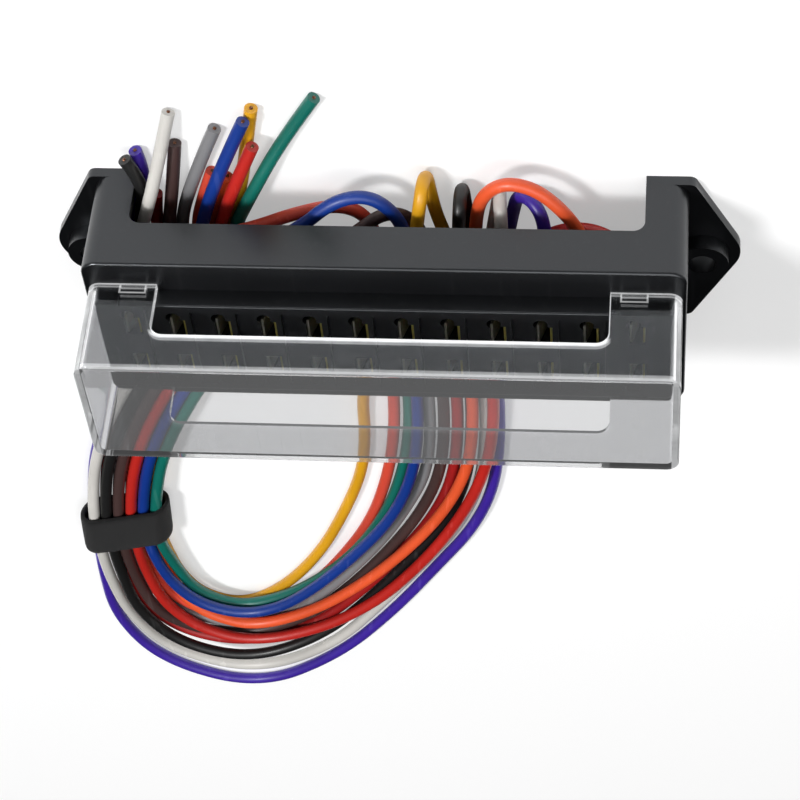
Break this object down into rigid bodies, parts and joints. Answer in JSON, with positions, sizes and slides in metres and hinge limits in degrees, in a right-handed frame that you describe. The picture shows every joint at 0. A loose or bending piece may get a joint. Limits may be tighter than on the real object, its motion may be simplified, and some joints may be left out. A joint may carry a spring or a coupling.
{
  "type": "blade fuse block",
  "caption": "Moulded blade fuse block on two screw ears with a clear lift-off cover and a strapped loop of coloured leads.",
  "frame": {"origin": "centre of the base between the two screw holes, in the panel plane", "axes": "+X along the block, +Y from the side where the leads end to the side where their loop lies, +Z out of the panel towards the fuses and the cover"},
  "size_m": [0.1806, 0.2707, 0.054],
  "materials": {
    "housing": "satin black moulded plastic",
    "cover": "clear moulded plastic",
    "contact": "tinned brass strip",
    "wire_salmon": "satin soft plastic insulation",
    "wire_green": "satin soft plastic insulation",
    "wire_blue": "satin soft plastic insulation",
    "wire_grey": "satin soft plastic insulation",
    "wire_brown": "satin soft plastic insulation",
    "wire_dark_red": "satin soft plastic insulation",
    "wire_yellow": "satin soft plastic insulation",
    "wire_black": "satin soft plastic insulation",
    "wire_white": "satin soft plastic insulation",
    "wire_violet": "satin soft plastic insulation",
    "wire_orange": "satin soft plastic insulation",
    "wire_red": "satin soft plastic insulation",
    "strap": "matt woven band"
  },
  "bodies": {
    "block": {"housing": "housing", "bus_bar": "contact", "terminal_01": "contact", "terminal_02": "contact", "terminal_03": "contact", "terminal_04": "contact", "terminal_05": "contact", "terminal_06": "contact", "terminal_07": "contact", "terminal_08": "contact", "terminal_09": "contact", "terminal_10": "contact", "terminal_11": "contact", "terminal_12": "contact", "wire_salmon": "wire_salmon", "wire_green": "wire_green", "wire_blue": "wire_blue", "wire_grey": "wire_grey", "wire_brown": "wire_brown", "wire_dark_red": "wire_dark_red", "wire_yellow": "wire_yellow", "wire_black": "wire_black", "wire_white": "wire_white", "wire_violet": "wire_violet", "wire_orange": "wire_orange", "wire_red": "wire_red", "strap": "strap"},
    "cover": {"cover": "cover"}
  },
  "joints": [
    {"name": "cover_lift", "type": "slide", "parent": "block", "child": "cover", "axis": [0, 0, 1], "range_m": [0, 0.045]}
  ]
}
